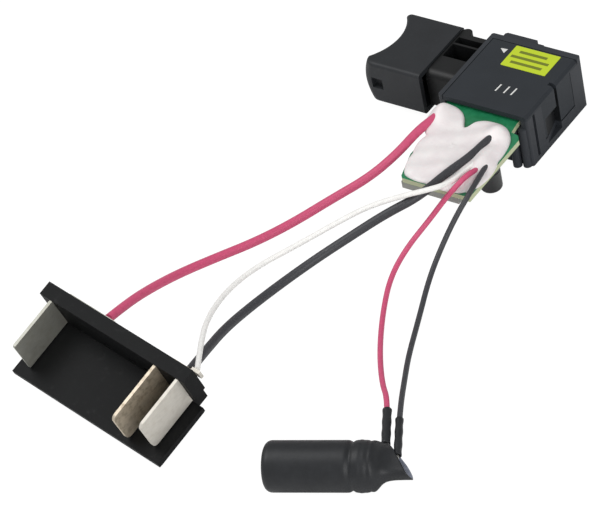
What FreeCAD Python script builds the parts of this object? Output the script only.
"""Trigger switch of a cordless power tool, with its lead set.

The switch lies label side up on its underside. X runs from the trigger to the
rear of the housing, Y away from the circuit board, Z up. The origin is the
middle of the housing's underside. All sizes are in millimetres.
"""
import FreeCAD, Part
import math
import os

os.makedirs("parts", exist_ok=True)
V = FreeCAD.Vector

# Housing
housing_length = 28.6
housing_width = 29.4
housing_height = 17.2
front_wall = 1.5
rear_wall = 2.4
side_wall = 1.0
board_side_wall = 1.5
floor_wall = 1.5
housing_corner = 0.7
front_strip = 1.35
side_strip = 2.0
cover_thick = 1.5
joint_gap = 0.25
tongue_low_y = -7.0
tongue_high_y = 8.6
tongue_bottom = 3.8
groove_width = 0.5
groove_depth = 0.5
latch_width = 7.6
latch_depth = 2.0
latch_low = 1.9
latch_high = 10.3
latch_slot = 1.2
rear_groove_width = 1.1
rear_groove_depth = 0.9
rear_bevel = 0.8
lug_length = 10.3
lug_start = 3.0
lug_out = 2.3
lug_top_drop = 0.7
lug_height = 7.0
step_length = 3.8
step_out = 1.0
post_radius = 1.3
post_spacing = 2.6
post_set_in = 0.6

# Circuit board and what it carries
board_thick = 1.6
board_top = 14.6
board_fit = 0.15
board_inner_depth = 7.0
board_reach = 31.9
board_half_width = 12.1
board_right_reach = 15.4
board_left_step = 2.6
heat_sink_width = 18.2
heat_sink_thick = 2.6
heat_sink_length = 22.0
sink_notch = 3.6
transistor_thick = 3.0
transistor_width = 7.0
transistor_length = 9.0
transistor_gap = 0.8
leg_width = 0.8
leg_thick = 0.5
leg_pitch = 2.2
leg_reach = 2.4
can_radius = 3.1
can_length = 8.2
potting_thick = 1.5
potting_edge = 0.6
chip_size = 4.0
chip_thick = 1.0

# Trigger and plunger
trigger_travel = 6.0
trigger_gap = 10.4
trigger_depth = 20.2
trigger_top = 15.6
trigger_bottom = -8.8
trigger_low = 2.0
trigger_high = 16.0
trigger_wall = 1.6
trigger_round = 1.2
horn_round = 1.6
nose_round = 3.2
nose_bulge = 1.7
finger_hollow = 4.9
window_width = 3.6
window_height = 3.5
window_from_front = 3.4
plunger_clear = 0.3
plunger_side_wall = 1.3
plunger_foot_room = 9.2
plunger_low = 3.6
plunger_high = 15.2
rail_width = 1.9
rib_width = 0.7
pocket_floor = 2.4
body_width = 8.1
plunger_inside = 10.3
lobe_radius = 1.65
lobe_step = 0.8
stem_width = 8.0
stem_height = 7.0
stem_round = 1.5
carrier_length = 7.0
carrier_thick = 2.6
carrier_reach = 7.0
spring_wire = 0.6
spring_radius = 2.5
spring_turns = 6
peg_length = 2.0
spring_seat = 2.4
brush_thick = 0.3
brush_gap = 0.1
finger_width = 1.2
contact_width = 2.4
contact_thick = 1.0
contact_gap = 0.2
bridge_thick = 0.7
button_radius = 0.9
button_height = 0.3

# Sticker
sticker_length = 14.4
sticker_width = 9.0
sticker_thick = 0.12
sticker_left = -4.7
sticker_low = 3.0

# Terminal block, in its own axes: x along it, y to the rear, z up
block_length = 52.0
block_overhang = 1.5
block_depth = 22.9
block_wall = 4.1
block_wall_height = 12.5
block_floor = 3.8
block_step_height = 1.8
block_step_inset = 1.2
block_round = 0.4
side_notch_long = 5.0
side_notch_short = 2.4
side_notch_depth = 1.2
wall_end_notch = 2.0
wall_end_foot = 2.7
block_place = V(-60.7, -127.1, 16.9)
block_yaw = -11.1
block_pitch = 18.4
block_roll = 6.7
blade_thick = 0.9
blade_low = 0.6
blade_high = 12.0
blade_stand_off = 0.6
left_blade_x = 3.5
middle_blade_from_end = 10.7
right_blade_from_end = 2.8
left_blade_reach = 19.8
middle_blade_reach = 21.7
right_blade_reach = 19.8
blade_tip_round = 1.6
blade_tip_bevel = 1.4
left_pad_length = 16.5
middle_pad_length = 6.3
right_pad_length = 2.8
left_pad_low = 3.0
left_pad_high = 6.6
middle_pad_low = 1.2
middle_pad_high = 6.0
right_pad_low = 6.6
right_pad_high = 9.2

# Capacitor in its shrink sleeve, in its own axes: x along it
cap_radius = 6.25
cap_length = 25.0
cap_edge = 1.8
bead_from_end = 3.4
bead_length = 1.6
bead_depth = 0.6
bung_radius = 5.2
bung_length = 2.0
sleeve_wall = 0.3
sleeve_gap = 0.05
sleeve_lip = 1.4
cap_place = V(16.4, -147.8, 0)
cap_yaw = 23.9
tail_from_end = 1.2
tail_pinch = 2.8
tail_length = 11.8
tail_half_width = 5.3
tail_half_height = 1.8
tail_offset = 1.1
tail_cut_from_end = 2.8
tail_cut_y = 8.2
tail_cut_angle = 37.9
lead_radius = 0.4
lead_pitch = 5.0

# Wires
power_wire = 2.5
thin_wire = 1.5
red_sleeve_radius = 1.25
black_sleeve_radius = 1.1
sleeve_bore_gap = 0.05
red_sleeve_reach = 6.6
black_sleeve_reach = 6.6

# Places worked out from the sizes above
front_x = -housing_length / 2
rear_x = housing_length / 2
low_y = -housing_width / 2
high_y = housing_width / 2
cover_low = housing_height - cover_thick
cover_front = front_x + front_strip
cover_side = high_y - side_strip
cavity_front = front_x + front_wall
cavity_rear = rear_x - rear_wall
cavity_low_y = low_y + board_side_wall
cavity_high_y = high_y - side_wall
board_low = board_top - board_thick
board_inner_y = low_y + board_inner_depth
board_outer_y = low_y - board_reach
trigger_rear = front_x - trigger_gap
trigger_front = trigger_rear - trigger_depth
plunger_rear = trigger_rear + trigger_gap + plunger_inside
sleeve_outer = cap_radius + sleeve_gap + sleeve_wall
bead_start = cap_length - bead_from_end
tail_start = cap_length + tail_from_end
tail_cut_x = cap_length + tail_cut_from_end
middle_blade_x = block_length - middle_blade_from_end
right_blade_x = block_length - right_blade_from_end
plunger_side = high_y - plunger_side_wall
plunger_foot = low_y + plunger_foot_room
spring_y = plunger_foot + body_width / 2
spring_z = (plunger_low + board_low) / 2


def box(x0, x1, y0, y1, z0, z1):
    """Rectangular solid between two corners."""
    return Part.makeBox(x1 - x0, y1 - y0, z1 - z0, V(x0, y0, z0))


def rounded_slab(x0, x1, y0, y1, z0, z1, radius):
    """Slab whose four upright edges are rounded."""
    slab = box(x0, x1, y0, y1, z0, z1)
    return slab.makeFillet(radius, edges_along(slab, V(0, 0, 1)))


def edges_along(shape, axis):
    """Straight edges of a shape that run along an axis."""
    found = []
    for edge in shape.Edges:
        if edge.Curve.TypeId == "Part::GeomLine":
            if edge.tangentAt(edge.FirstParameter).cross(axis).Length < 1e-6:
                found.append(edge)
    return found


def edges_at(shape, axis, value, keep=lambda edge: True):
    """Edges that lie wholly in the plane where one coordinate has a value."""
    found = []
    for edge in shape.Edges:
        low = getattr(edge.BoundBox, axis + "Min")
        high = getattr(edge.BoundBox, axis + "Max")
        if abs(low - value) < 1e-4 and abs(high - value) < 1e-4 and keep(edge):
            found.append(edge)
    return found


def plate(points, low, high):
    """Flat piece: a closed outline of corner points, extruded upwards."""
    corners = [V(x, y, low) for x, y in points]
    outline = Part.makePolygon(corners + corners[:1])
    return Part.Face(outline).extrude(V(0, 0, high - low))


def tube_path(points):
    """Straight runs joined by tangent arcs, with the radius of each arc."""
    edges = []
    radii = []
    start = points[0]
    for before, corner, after in zip(points, points[1:], points[2:]):
        shorter = min((corner - before).Length, (after - corner).Length)
        way_in = (corner - before).normalize()
        way_out = (after - corner).normalize()
        half_turn = way_in.getAngle(way_out) / 2
        cut = 0.45 * shorter
        radius = cut / math.tan(half_turn)
        arc_start = corner - way_in * cut
        arc_end = corner + way_out * cut
        inward = (way_out - way_in).normalize()
        middle = corner + inward * (radius / math.cos(half_turn) - radius)
        edges.append(Part.LineSegment(start, arc_start).toShape())
        edges.append(Part.Arc(arc_start, middle, arc_end).toShape())
        radii.append(radius)
        start = arc_end
    edges.append(Part.LineSegment(start, points[-1]).toShape())
    return Part.Wire(edges), radii


def tube(points, radius):
    """Round rod along a path."""
    path, radii = tube_path([V(*point) for point in points])
    heading = (V(*points[1]) - V(*points[0])).normalize()
    ring = Part.makeCircle(radius, V(*points[0]), heading)
    solid = path.makePipeShell([Part.Wire([ring])], True, False)
    return solid, path, radii


def wire_solid(name, points, diameter):
    """One insulated wire, with its radii and its volume printed."""
    solid, path, radii = tube(points, diameter / 2)
    expected = math.pi * diameter ** 2 / 4 * path.Length
    tightest = ", ".join("%.0f" % radius for radius in radii)
    print(name, "length %.1f" % path.Length, "radii", tightest)
    print("  volume %.1f of %.1f" % (solid.Volume, expected), "lowest %.2f" % solid.BoundBox.ZMin)
    return solid


def save(name, shape):
    """Write one sub-part, after a look at its solids."""
    if not shape.isValid() or not shape.Solids:
        print("not valid:", name)
    shape.exportStep("parts/" + name + ".step")
    print(name, len(shape.Solids), "solid, volume %.2f" % shape.Volume)
    return shape


# Wire routes, each from the board to its far end
red_power_route = [
    (-9.8, -18.7, 15.9), (-10.3, -23.1, 16.2), (-11.9, -29.0, 15.9), (-13.6, -37.7, 13.8),
    (-18.4, -45.6, 10.0), (-25.7, -54.3, 6.8), (-31.8, -64.8, 4.8), (-37.4, -75.2, 4.4),
    (-42.7, -86.1, 5.8), (-45.7, -97.9, 9.0), (-45.5, -110.1, 13.8), (-44.2, -121.2, 18.2),
    (-43.4, -130.6, 20.6)]
black_power_route = [
    (9.9, -20.3, 15.9), (8.7, -24.9, 16.1), (8.1, -33.5, 16.4), (5.6, -41.8, 16.3),
    (3.6, -53.1, 16.2), (-3.8, -59.2, 12.6), (-11.1, -66.6, 8.2), (-17.6, -75.2, 4.8),
    (-22.2, -86.2, 3.2), (-23.9, -98.3, 4.2), (-22.4, -110.5, 7.8), (-18.9, -122.0, 12.0),
    (-15.4, -134.6, 15.8)]
white_signal_route = [
    (10.5, -29.4, 15.4), (11.0, -35.9, 16.8), (10.2, -41.8, 17.0), (9.2, -47.6, 18.0),
    (6.5, -51.7, 18.6), (0.3, -55.4, 17.4), (-8.7, -60.2, 14.4), (-16.0, -67.0, 11.0),
    (-23.0, -75.8, 8.2), (-28.9, -85.9, 7.2), (-29.6, -97.7, 9.0), (-25.5, -111.2, 13.0),
    (-19.1, -123.0, 17.0), (-10.8, -136.0, 19.6)]
red_thin_route = [
    (12.4, -35.9, 15.4), (12.8, -39.0, 17.3), (12.7, -42.6, 18.3), (11.7, -45.9, 17.4),
    (9.2, -48.9, 14.2), (6.2, -53.3, 9.4), (3.0, -61.8, 4.6), (3.2, -71.1, 1.6),
    (8.6, -83.3, 0.9), (16.6, -96.8, 2.0), (25.7, -108.9, 4.8), (31.6, -114.8, 6.6),
    (36.0, -122.1, 6.6)]
black_thin_route = [
    (12.9, -31.7, 15.4), (14.7, -38.3, 16.8), (16.1, -46.8, 16.8), (14.8, -52.6, 13.0),
    (13.2, -58.6, 7.2), (13.9, -67.8, 2.8), (18.5, -80.8, 0.9), (24.0, -94.3, 1.4),
    (29.2, -103.8, 3.4), (36.4, -116.4, 6.6), (40.7, -123.7, 6.6)]


def housing_body():
    """Open-topped case with the front strip, side strip, grooves, lug and posts."""
    case = box(front_x, rear_x, low_y, high_y, 0, housing_height)
    case = case.makeFillet(housing_corner, edges_along(case, V(0, 0, 1)))
    lug_x = front_x + lug_start
    lug_top = housing_height - lug_top_drop
    lug = plate([(lug_x, high_y), (lug_x + lug_length, high_y),
                 (lug_x + lug_length, high_y + lug_out), (lug_x + lug_out / 4, high_y + lug_out),
                 (lug_x, high_y + lug_out * 3 / 4)], lug_top - lug_height, lug_top)
    step_x = lug_x + lug_length
    step = plate([(step_x, high_y), (step_x + step_length, high_y),
                  (step_x + step_length * 3 / 4, high_y + step_out), (step_x, high_y + step_out)],
                 lug_top - lug_height, lug_top)
    case = case.fuse([lug, step])
    post_x = rear_x - post_radius - post_set_in
    for index in range(2):
        centre = V(post_x - index * post_spacing, low_y - index * post_radius * 0.8, 0)
        post = Part.makeCylinder(post_radius, board_low, centre)
        case = case.fuse(post)
    cavity = box(cavity_front, cavity_rear, cavity_low_y, cavity_high_y, floor_wall, cover_low)
    case = case.cut(cavity)
    recess = box(cover_front, rear_x + 1, low_y - 1, cover_side, cover_low, housing_height + 1)
    opening = box(front_x - 1, cavity_front + 1, plunger_foot - plunger_clear,
                  plunger_side + plunger_clear, plunger_low - plunger_clear, cover_low)
    tongue_cut = box(cavity_rear - 1, rear_x + 1, tongue_low_y, tongue_high_y, tongue_bottom, cover_low)
    slot = box(-board_half_width - board_fit, board_half_width + board_fit,
               low_y - 1, cavity_low_y + 1, board_low, cover_low)
    case = case.cut([recess, opening, tongue_cut, slot])
    # Upright groove near the board-side corner of the rear face, up to the cover
    groove_y = tongue_low_y - 4.7
    groove = box(rear_x - rear_groove_depth, rear_x + 1, groove_y, groove_y + rear_groove_width,
                 floor_wall, cover_low)
    latch_base = latch_pocket(latch_low, tongue_bottom)
    return case.cut([groove, latch_base]).removeSplitter()


def latch_pocket(low, high):
    """Wedge that is deepest on its far side and runs out towards the board."""
    start_y = 1.2
    points = [V(rear_x + 0.01, start_y, low), V(rear_x - latch_depth, start_y, low),
              V(rear_x + 0.01, start_y - latch_width, low)]
    wedge = Part.Face(Part.makePolygon(points + points[:1]))
    return wedge.extrude(V(0, 0, high - low))


def housing_cover():
    """Label-side cover with the tongue that closes the rear wall."""
    plate_solid = box(cover_front + joint_gap, rear_x, low_y, cover_side - joint_gap,
                      cover_low, housing_height)
    upright = [edge for edge in edges_along(plate_solid, V(0, 0, 1))
               if edge.BoundBox.XMin > rear_x - 0.1 and edge.BoundBox.YMax < 0]
    plate_solid = plate_solid.makeFillet(housing_corner, upright)
    tongue = box(cavity_rear, rear_x, tongue_low_y, tongue_high_y - joint_gap,
                 tongue_bottom, cover_low)
    seat_peg = Part.makeCylinder(spring_radius - spring_wire, peg_length,
                                 V(cavity_rear - peg_length, spring_y, spring_z), V(1, 0, 0))
    cover = plate_solid.fuse([tongue, seat_peg])
    slot_y = 1.2
    slot = box(rear_x - latch_depth, rear_x + 1, slot_y - latch_slot, slot_y,
               latch_high, housing_height + 1)
    pocket = latch_pocket(tongue_bottom, latch_high)
    # Shadow line round the tongue, cut where it meets the case
    foot_groove = box(rear_x - groove_depth, rear_x + 1, tongue_low_y, tongue_high_y,
                      tongue_bottom, tongue_bottom + groove_width)
    cover = cover.cut([slot, pocket, foot_groove])
    # Bevel where the label side meets the rear face
    bevel = [V(rear_x - rear_bevel, low_y - 1, housing_height), V(rear_x, low_y - 1, housing_height),
             V(rear_x, low_y - 1, housing_height - rear_bevel)]
    corner = Part.Face(Part.makePolygon(bevel + bevel[:1])).extrude(V(0, housing_width + 2, 0))
    return cover.cut(corner).removeSplitter()


def trigger_profile(z, front):
    """Side outline of the trigger at one level, with the hollow for the finger."""
    horn_x = trigger_front + nose_bulge
    hollow_x = trigger_front + finger_hollow
    face_top = trigger_top - horn_round
    face_low = trigger_bottom + nose_round
    hollow_y = (face_top + face_low) / 2
    near = 1 - math.cos(math.radians(45))
    curve = [
        Part.LineSegment(V(trigger_rear, trigger_top, z), V(horn_x + horn_round, trigger_top, z)),
        Part.Arc(V(horn_x + horn_round, trigger_top, z),
                 V(horn_x + horn_round * near, trigger_top - horn_round * near, z),
                 V(horn_x, face_top, z)),
        Part.Arc(V(horn_x, face_top, z), V(hollow_x, hollow_y, z), V(front, face_low, z)),
        Part.Arc(V(front, face_low, z),
                 V(front + nose_round * near, trigger_bottom + nose_round * near, z),
                 V(front + nose_round, trigger_bottom, z)),
        Part.LineSegment(V(front + nose_round, trigger_bottom, z),
                         V(trigger_rear, trigger_bottom, z)),
        Part.LineSegment(V(trigger_rear, trigger_bottom, z), V(trigger_rear, trigger_top, z))]
    return Part.Wire([part.toShape() for part in curve])


def trigger_shell():
    """Hollow trigger, open at the rear, with the window in its lower side."""
    middle = (trigger_low + trigger_high) / 2
    side = trigger_front + nose_bulge
    sections = [trigger_profile(trigger_low, side), trigger_profile(middle, trigger_front),
                trigger_profile(trigger_high, side)]
    solid = Part.makeLoft(sections, True, False)
    soft = []
    for level in (trigger_low, trigger_high):
        soft += edges_at(solid, "Z", level, lambda edge: edge.BoundBox.XMin < trigger_rear - 0.1)
    solid = solid.makeFillet(trigger_round, soft)
    inside = rounded_slab(trigger_front + finger_hollow + trigger_wall, trigger_rear + 5,
                          trigger_bottom + trigger_wall, trigger_top - trigger_wall,
                          trigger_low + trigger_wall, trigger_high - trigger_wall, 1.0)
    window_x = trigger_front + window_from_front
    window = box(window_x, window_x + window_width, trigger_bottom - 1, trigger_bottom + trigger_wall,
                 middle - window_height / 2, middle + window_height / 2)
    return solid.cut([inside, window])


def plunger():
    """Sliding carrier: stem into the trigger, open-pocketed block, rail and brush carrier."""
    block_low = plunger_low
    block = box(trigger_rear, plunger_rear, plunger_foot, plunger_side, block_low, plunger_high)
    foot_edge = [edge for edge in edges_along(block, V(1, 0, 0))
                 if edge.BoundBox.YMax < plunger_foot + 0.1 and edge.BoundBox.ZMin > block_low + 1]
    block = block.makeFillet(body_width / 3, foot_edge)
    pocket_low = block_low + pocket_floor
    rail_y = plunger_side - rail_width
    body_y = plunger_foot + body_width
    rib_y = body_y + (rail_y - body_y) * 0.64
    end_wall = lobe_step
    pocket_a = box(trigger_rear + end_wall, plunger_rear - end_wall, rib_y + rib_width, rail_y,
                   pocket_low, plunger_high + 1)
    pocket_b = box(trigger_rear + end_wall, plunger_rear - end_wall, body_y, rib_y,
                   pocket_low, plunger_high + 1)
    lobe = Part.makeCylinder(lobe_radius, plunger_high - pocket_low,
                             V(trigger_rear + lobe_radius + 0.1, plunger_side + lobe_step, pocket_low))
    stem_y = (plunger_side + plunger_foot) / 2
    stem_z = (trigger_low + trigger_high) / 2
    stem_front = trigger_front + finger_hollow + trigger_wall
    stem = box(stem_front, trigger_rear, stem_y - stem_width / 2, stem_y + stem_width / 2,
               stem_z - stem_height / 2, stem_z + stem_height / 2)
    stem = stem.makeFillet(stem_round, edges_along(stem, V(1, 0, 0)))
    carrier_top = board_low - brush_gap - 1.4
    carrier = box(plunger_rear - carrier_length, plunger_rear, plunger_foot - carrier_reach,
                  plunger_foot + 1, carrier_top - carrier_thick, carrier_top)
    spring_bore = Part.makeCylinder(spring_radius + spring_wire / 2 + 0.35, spring_seat,
                                    V(plunger_rear - spring_seat, spring_y, spring_z), V(1, 0, 0))
    solid = block.cut([pocket_a, pocket_b]).fuse([lobe, stem, carrier])
    return solid.cut(spring_bore).removeSplitter()


def return_spring():
    """Coil spring between the plunger's bore and the rear wall."""
    start = plunger_rear - spring_seat
    length = cavity_rear - start
    height = length - spring_wire
    helix = Part.makeHelix(height / spring_turns, height, spring_radius)
    ring = Part.makeCircle(spring_wire / 2, V(spring_radius, 0, 0), V(0, 1, 0))
    coil = helix.makePipeShell([Part.Wire([ring])], True, True)
    coil.rotate(V(0, 0, 0), V(0, 1, 0), 90)
    coil.translate(V(start + spring_wire / 2, spring_y, spring_z))
    return coil


def wiper_brush():
    """Sprung bronze strip on the carrier, with fingers that reach the board's tracks."""
    carrier_top = board_low - brush_gap - 1.4
    base_x = plunger_rear - carrier_length + 0.4
    base_y = plunger_foot - carrier_reach + 0.5
    span = carrier_reach - 1.4
    base = box(base_x, base_x + 2.4, base_y, base_y + span, carrier_top, carrier_top + brush_thick)
    fingers = []
    count = 3
    for index in range(count):
        side = base_y + index * (span - finger_width) / (count - 1)
        rise = [V(base_x + 2.4, side, carrier_top),
                V(base_x + 5.2, side, board_low - brush_gap - brush_thick),
                V(base_x + 5.2, side, board_low - brush_gap),
                V(base_x + 2.4, side, carrier_top + brush_thick)]
        finger = Part.Face(Part.makePolygon(rise + rise[:1])).extrude(V(0, finger_width, 0))
        fingers.append(finger)
    return base.fuse(fingers).removeSplitter()


def moving_contact():
    """Copper bridge on the end of the brush carrier, with two contact buttons."""
    start = plunger_rear
    y0 = plunger_foot - carrier_reach
    y1 = plunger_foot - 0.4
    carrier_top = board_low - brush_gap - 1.4
    low = carrier_top - carrier_thick
    bridge = rounded_slab(start, start + bridge_thick, y0, y1, low, carrier_top, 0.2)
    buttons = []
    for y in (y0 + contact_width / 2, y1 - contact_width / 2):
        button = Part.makeCylinder(button_radius, button_height,
                                   V(start + bridge_thick, y, (low + carrier_top) / 2), V(1, 0, 0))
        buttons.append(button)
    return bridge.fuse(buttons)


def fixed_contact(side_y):
    """Fixed terminal: a strip that stands on the floor and reaches up to the board."""
    face_x = plunger_rear + bridge_thick + button_height + trigger_travel + contact_gap
    carrier_top = board_low - brush_gap - 1.4
    middle = carrier_top - carrier_thick / 2
    strip = box(face_x + button_height, face_x + button_height + contact_thick,
                side_y - contact_width / 2, side_y + contact_width / 2, floor_wall, board_low)
    foot = box(face_x + button_height, face_x + button_height + contact_thick * 3,
               side_y - contact_width / 2, side_y + contact_width / 2,
               floor_wall, floor_wall + contact_thick)
    button = Part.makeCylinder(button_radius, button_height, V(face_x, side_y, middle), V(1, 0, 0))
    return strip.fuse([foot, button]).removeSplitter()


def circuit_board():
    """Board with its tongue inside the housing, its steps and its side tab."""
    left = -board_half_width
    inner = board_half_width - 0.9
    tab_y = low_y - 4.6
    outline = [
        (left, board_inner_y), (left, low_y - 9.8), (left + board_left_step, low_y - 12.8),
        (left + board_left_step, low_y - 22.4), (left + board_left_step * 2, board_outer_y + 0.8),
        (left + board_left_step * 2 + 0.8, board_outer_y), (board_right_reach, board_outer_y),
        (board_right_reach, tab_y - 1.6), (board_right_reach - 1.2, tab_y),
        (inner + 0.5, tab_y + 0.6), (inner, low_y - 0.3), (inner, board_inner_y)]
    return plate(outline, board_low, board_top)


def potting_outline():
    """Hand-placed points round the poured silicone, counter-clockwise."""
    right = board_right_reach - 0.5
    return [(-12.9, -21.6), (-12.3, -18.6), (-10.2, -16.5), (-8.0, -15.8), (-5.4, -16.9),
            (-2.8, -19.6), (-1.5, -22.4), (0.0, -21.6), (1.0, -19.2), (3.7, -17.8),
            (7.2, -18.0), (10.6, -19.9), (12.9, -22.4), (right - 0.2, -26.6), (right, -31.0),
            (right, -43.8), (right - 2.4, board_outer_y + 0.6), (2.0, board_outer_y + 0.4),
            (-6.2, board_outer_y + 1.2), (-8.6, -37.4), (-9.3, -29.0), (-12.0, -26.0)]


def silicone(cutters):
    """Poured silicone on the board, moulded round the wires that leave it."""
    points = [V(x, y, board_top) for x, y in potting_outline()]
    curve = Part.BSplineCurve()
    curve.interpolate(points[::-1], PeriodicFlag=True)
    face = Part.Face(Part.Wire([curve.toShape()]))
    slab = face.extrude(V(0, 0, potting_thick))
    slab = slab.makeFillet(potting_edge, edges_at(slab, "Z", board_top + potting_thick))
    mounds = []
    for x, y, radius, rise in ((-9.6, -19.6, 3.0, 3.1), (9.2, -22.4, 3.6, 3.1), (12.2, -33.0, 3.0, 3.6)):
        # A mound is part of a ball whose top stands the rise above the board
        ball_radius = (radius * radius + rise * rise) / (2 * rise)
        ball = Part.makeSphere(ball_radius, V(x, y, board_top + rise - ball_radius))
        mounds.append(ball.common(box(x - 9, x + 9, y - 9, y + 9, board_top, board_top + rise + 1)))
    trim = box(-20, board_right_reach - 0.1, board_outer_y, low_y - 0.4, board_top, board_top + 9)
    solid = slab.fuse([mound.common(trim) for mound in mounds])
    return solid.cut(cutters)


def heat_sink():
    """Aluminium block under the board, notched for the small capacitor."""
    left = -board_half_width + board_left_step * 2
    right = left + heat_sink_width
    outer = board_outer_y + 0.3
    inner = outer + heat_sink_length
    notch_y = outer + heat_sink_length / 2
    outline = [(left, outer), (right, outer), (right, notch_y), (right - sink_notch, notch_y),
               (right - sink_notch, inner), (left, inner)]
    block = plate(outline, board_low - heat_sink_thick, board_low)
    return block.makeChamfer(0.3, edges_at(block, "Z", board_low - heat_sink_thick))


def transistor(left):
    """Power transistor under the heat sink, with its three legs bent up to the board."""
    outer = board_outer_y + 3.4
    top = board_low - heat_sink_thick
    body = box(left, left + transistor_width, outer, outer + transistor_length,
               top - transistor_thick, top)
    body = body.makeChamfer(0.5, edges_at(body, "Z", top - transistor_thick))
    legs = []
    inner = outer + transistor_length
    bend_y = board_outer_y + 0.3 + heat_sink_length + leg_reach
    leg_z = top - transistor_thick / 2
    for index in (-1, 0, 1):
        x = left + transistor_width / 2 + index * leg_pitch - leg_width / 2
        profile = [V(x, inner, leg_z), V(x, bend_y, leg_z), V(x, bend_y, board_low),
                   V(x, bend_y - leg_thick, board_low), V(x, bend_y - leg_thick, leg_z + leg_thick),
                   V(x, inner, leg_z + leg_thick)]
        legs.append(Part.Face(Part.makePolygon(profile + profile[:1])).extrude(V(leg_width, 0, 0)))
    return body.fuse(legs)


def board_capacitor():
    """Small can that hangs from the board beside the heat sink."""
    x = board_right_reach - can_radius - 0.7
    y = board_outer_y + 15.3
    low = board_low - can_length
    can = Part.makeCylinder(can_radius, can_length, V(x, y, low))
    can = can.makeFillet(1.0, edges_at(can, "Z", low))
    groove = Part.makeTorus(can_radius + 0.25, 0.5, V(x, y, board_low - 1.6))
    return can.cut(groove)


def board_chips():
    """Small surface parts under the board: the controller and a row of resistors."""
    chip = box(-8.6, -8.6 + chip_size * 1.5, low_y - 6.8, low_y - 6.8 + chip_size,
               board_low - chip_thick, board_low)
    chip = chip.makeChamfer(0.2, edges_at(chip, "Z", board_low - chip_thick))
    small = []
    for index in range(3):
        x = 0.6 + index * 2.2
        small.append(box(x, x + 1.2, low_y - 5.4, low_y - 3.4, board_low - 0.5, board_low))
    return Part.makeCompound([chip] + small)


def label_sticker():
    """Printed sticker on the cover."""
    return rounded_slab(sticker_left, sticker_left + sticker_length, sticker_low,
                        sticker_low + sticker_width, housing_height,
                        housing_height + sticker_thick, 0.3)


def place_block(shape):
    """Turn and move a piece from the terminal block's axes to where the block lies."""
    shape.rotate(V(0, 0, 0), V(0, 1, 0), block_roll)
    shape.rotate(V(0, 0, 0), V(1, 0, 0), block_pitch)
    shape.rotate(V(0, 0, 0), V(0, 0, 1), block_yaw)
    shape.translate(block_place)
    return shape


def terminal_body(blades):
    """L-shaped block: floor with a stepped edge, upright wall, slots for the blades."""
    end = block_length + block_overhang
    floor_top = box(0, end, -block_depth, -block_wall, -block_step_height, 0)
    lower = box(block_step_inset, end - block_step_inset, -block_depth + block_step_inset,
                0, -block_floor, -block_step_height)
    wall = box(0, block_length, -block_wall, 0, -block_floor, block_wall_height)
    body = floor_top.fuse([lower, wall])
    # The wall's right end is cut back under its upper part
    foot = box(block_length - wall_end_notch, end + 1, -block_wall, 1, -block_floor - 1, wall_end_foot)
    body = body.cut(foot)
    notches = []
    for start, length in ((block_wall + 1.6, side_notch_short), (block_wall + 8.2, side_notch_long)):
        notch = box(end - side_notch_depth, end + 1, -start - length, -start,
                    -block_floor - 1, -0.8)
        notches.append(notch)
    # Shallow moulding marks on the wall's front face
    for x in (19.0, 28.0, 33.5):
        mark = box(x, x + 2.4, -block_wall - 1, -block_wall + 0.3, 1.6, 3.0)
        notches.append(mark)
    body = body.cut(notches + blades).removeSplitter()
    return body


def blade(x, reach, pad_length, pad_low, pad_high, bevel):
    """Nickel-plated blade through the wall, with a solder pad behind it."""
    tip = -reach
    root = blade_stand_off
    outline = [V(x, root, pad_low), V(x, -block_wall, pad_low), V(x, -block_wall, blade_low),
               V(x, tip, blade_low), V(x, tip, blade_high), V(x, -block_wall, blade_high),
               V(x, -block_wall, pad_high), V(x, root, pad_high)]
    strip = Part.Face(Part.makePolygon(outline + outline[:1])).extrude(V(blade_thick, 0, 0))
    corners = [edge for edge in edges_along(strip, V(1, 0, 0)) if edge.BoundBox.YMax < tip + 0.1]
    strip = strip.makeFillet(blade_tip_round if not bevel else 0.5, corners)
    if bevel:
        nose = [V(x - 1, tip - 0.1, blade_low - 1), V(x + blade_thick * 0.4, tip - 0.1, blade_low - 1),
                V(x - 1, tip + blade_tip_bevel * 2, blade_low - 1)]
        wedge = Part.Face(Part.makePolygon(nose + nose[:1])).extrude(V(0, 0, blade_high + 2))
        strip = strip.cut(wedge)
    pad = box(x, x + pad_length, root, root + blade_thick, pad_low, pad_high)
    return strip.fuse(pad).removeSplitter()


def place_cap(shape):
    """Move a piece from the capacitor's axes to where it lies on its side."""
    shape.rotate(V(0, 0, 0), V(0, 0, 1), cap_yaw)
    shape.translate(cap_place + V(0, 0, cap_radius + sleeve_gap + sleeve_wall))
    return shape


def revolve_x(points):
    """Turned piece from an outline of (along, radius) points."""
    corners = [V(x, r, 0) for x, r in points]
    face = Part.Face(Part.makePolygon(corners + corners[:1]))
    return face.revolve(V(0, 0, 0), V(1, 0, 0), 360)


def capacitor_can():
    """Aluminium can with its bead near the open end."""
    neck = cap_radius - bead_depth
    inner = bung_radius
    middle = bead_start + bead_length / 2
    outline = [(0, 0), (0, cap_radius - cap_edge), (cap_edge * 0.3, cap_radius - cap_edge * 0.3),
               (cap_edge, cap_radius), (bead_start, cap_radius), (bead_start + 0.4, neck),
               (middle + 0.4, neck), (bead_start + bead_length, cap_radius),
               (cap_length - 0.5, cap_radius), (cap_length, cap_radius - 0.5),
               (cap_length, inner), (cap_length - bung_length, inner), (cap_length - bung_length, 0)]
    return revolve_x(outline)


def capacitor_bung(leads):
    """Rubber bung that closes the can round its two leads."""
    bung = revolve_x([(cap_length - bung_length, 0), (cap_length - bung_length, bung_radius),
                      (cap_length, bung_radius), (cap_length + 0.2, bung_radius - 0.4),
                      (cap_length + 0.2, 0)])
    return place_cap(bung).cut(leads)


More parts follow.
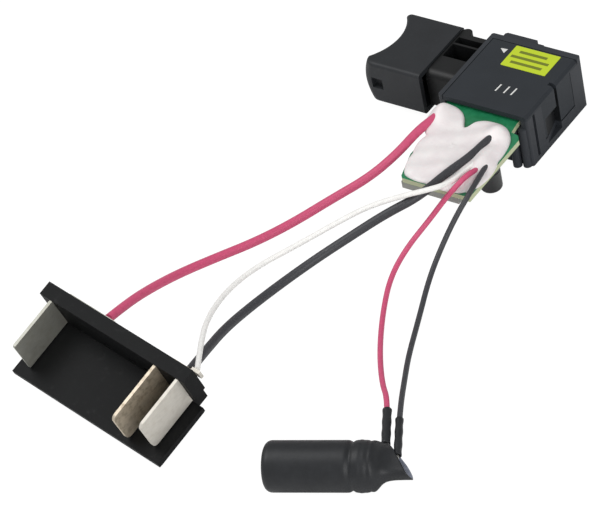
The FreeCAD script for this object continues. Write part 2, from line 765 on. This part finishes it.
def tail_ring(past, shrink):
    """Ring of the sleeve's tail: round where it starts, then quickly pinched flat."""
    round_part = 1 / (1 + (past / tail_pinch) ** 4)
    width = tail_half_width + (sleeve_outer - tail_half_width) * round_part - shrink
    height = tail_half_height + (sleeve_outer - tail_half_height) * round_part - shrink
    middle = V(tail_start + past, tail_offset * (1 - round_part), 0)
    if past == 0:
        ring = Part.Circle(middle, V(1, 0, 0), height)
    else:
        ring = Part.Ellipse(middle + V(0, width, 0), middle + V(0, 0, height), middle)
    return Part.Wire([ring.toShape()])


def tail_solid(shrink):
    """Loft through the tail's rings; shrink gives the inside."""
    count = 9
    rings = []
    for index in range(count):
        rings.append(tail_ring(tail_length * index / (count - 1), shrink))
    return Part.makeLoft(rings, True, False)


def capacitor_sleeve():
    """Shrink sleeve: a lip over the closed end, the bead's dent, and the pinched tail."""
    inner = cap_radius + sleeve_gap
    dent = bead_depth * 0.8
    middle = bead_start + bead_length / 2
    outline = [(-sleeve_wall, cap_radius - sleeve_lip), (-sleeve_wall, sleeve_outer - cap_edge),
               (cap_edge * 0.3 - sleeve_wall * 0.7, sleeve_outer - cap_edge * 0.3),
               (cap_edge - sleeve_wall * 0.3, sleeve_outer), (bead_start, sleeve_outer),
               (middle, sleeve_outer - dent), (bead_start + bead_length, sleeve_outer),
               (tail_start, sleeve_outer), (tail_start, inner), (bead_start + bead_length, inner),
               (middle, inner - dent), (bead_start, inner), (cap_edge, inner),
               (cap_edge * 0.3 - 0.02, inner - cap_edge * 0.3), (0, inner - cap_edge - 0.05),
               (0, cap_radius - sleeve_lip)]
    body = revolve_x(outline)
    skirt = tail_solid(0)
    hollow = tail_solid(sleeve_wall)
    cut_way = V(math.tan(math.radians(tail_cut_angle)), -1, 0).normalize()
    face_way = V(-cut_way.y, cut_way.x, 0)
    mouth = Part.makeBox(30, 40, 30, V(0, -20, -15))
    mouth.rotate(V(0, 0, 0), V(0, 0, 1), math.degrees(math.atan2(face_way.y, face_way.x)))
    mouth.translate(V(tail_cut_x, tail_cut_y, 0))
    tail = skirt.cut([hollow, mouth])
    return place_cap(body.fuse(tail))


def cap_point(along, across, up=0.0):
    """Point in the capacitor's axes, as it lies."""
    angle = math.radians(cap_yaw)
    return (cap_place.x + along * math.cos(angle) - across * math.sin(angle),
            cap_place.y + along * math.sin(angle) + across * math.cos(angle),
            sleeve_outer + up)


def wire_end(route):
    """End of a route and the way it points there."""
    end = V(*route[-1])
    return end, (end - V(*route[-2])).normalize()


def lead_sleeve(route, past_end, radius):
    """Shrink sleeve over a wire's straight end and the start of its bare lead."""
    end, way = wire_end(route)
    straight = 0.55 * (end - V(*route[-2])).Length
    heading = way * (straight + past_end)
    outer = Part.makeCylinder(radius, heading.Length, end - way * straight, way)
    bore = Part.makeCylinder(thin_wire / 2 + sleeve_bore_gap, heading.Length, end - way * straight, way)
    return outer.cut(bore)


def bare_lead(route, across):
    """Bare lead: out of the can along its axis, then across to the wire's end."""
    end, way = wire_end(route)
    start = V(*cap_point(cap_length - bung_length, across))
    axis = (V(*cap_point(cap_length, across)) - start).normalize()
    # The lead bends where the wire's line passes closest to the lead's own line
    away = end - start
    mix = axis.dot(way)
    reach = (away.dot(axis) - mix * away.dot(way)) / (1 - mix * mix)
    corner = start + axis * reach
    return tube([tuple(start), tuple(corner), tuple(end)], lead_radius)[0]


def build():
    """Make every sub-part and write it."""
    made = {}
    made["housing_body"] = housing_body()
    made["housing_cover"] = housing_cover()
    made["trigger"] = trigger_shell()
    made["plunger"] = plunger()
    made["return_spring"] = return_spring()
    made["wiper_brush"] = wiper_brush()
    made["moving_contact"] = moving_contact()
    contact_y0 = plunger_foot - carrier_reach + contact_width / 2
    contact_y1 = plunger_foot - 0.4 - contact_width / 2
    made["fixed_contact_supply"] = fixed_contact(contact_y0)
    made["fixed_contact_motor"] = fixed_contact(contact_y1)
    made["circuit_board"] = circuit_board()
    made["heat_sink"] = heat_sink()
    sink_left = -board_half_width + board_left_step * 2
    made["transistor_left"] = transistor(sink_left + 0.2)
    made["transistor_right"] = transistor(sink_left + 0.2 + transistor_width + transistor_gap)
    made["board_capacitor"] = board_capacitor()
    made["board_chips"] = board_chips()
    made["label_sticker"] = label_sticker()
    wires = {"wire_red_power": (red_power_route, power_wire),
             "wire_black_power": (black_power_route, power_wire),
             "wire_white_signal": (white_signal_route, thin_wire),
             "wire_red_capacitor": (red_thin_route, thin_wire),
             "wire_black_capacitor": (black_thin_route, thin_wire)}
    behind_pads = place_block(box(-9, 70, -30, blade_stand_off + blade_thick, -9, 22))
    for name, (route, diameter) in wires.items():
        made[name] = wire_solid(name, route, diameter).cut(behind_pads)
    made["silicone_potting"] = silicone([made[name] for name in wires])
    blades = {"blade_positive": blade(left_blade_x, left_blade_reach, left_pad_length,
                                      left_pad_low, left_pad_high, True),
              "blade_signal": blade(middle_blade_x, middle_blade_reach, middle_pad_length,
                                    middle_pad_low, middle_pad_high, False),
              "blade_negative": blade(right_blade_x, right_blade_reach, right_pad_length,
                                      right_pad_low, right_pad_high, False)}
    made["terminal_block"] = place_block(terminal_body(list(blades.values())))
    for name, shape in blades.items():
        made[name] = place_block(shape)
    made["capacitor_lead_red"] = bare_lead(red_thin_route, lead_pitch / 2)
    made["capacitor_lead_black"] = bare_lead(black_thin_route, -lead_pitch / 2)
    leads = [made["capacitor_lead_red"], made["capacitor_lead_black"]]
    made["capacitor_can"] = place_cap(capacitor_can()).cut(leads)
    made["capacitor_bung"] = capacitor_bung(leads)
    made["capacitor_sleeve"] = capacitor_sleeve().cut(leads)
    made["lead_sleeve_red"] = lead_sleeve(red_thin_route, red_sleeve_reach, red_sleeve_radius)
    made["lead_sleeve_black"] = lead_sleeve(black_thin_route, black_sleeve_reach, black_sleeve_radius)
    for name, shape in made.items():
        save(name, shape)


build()
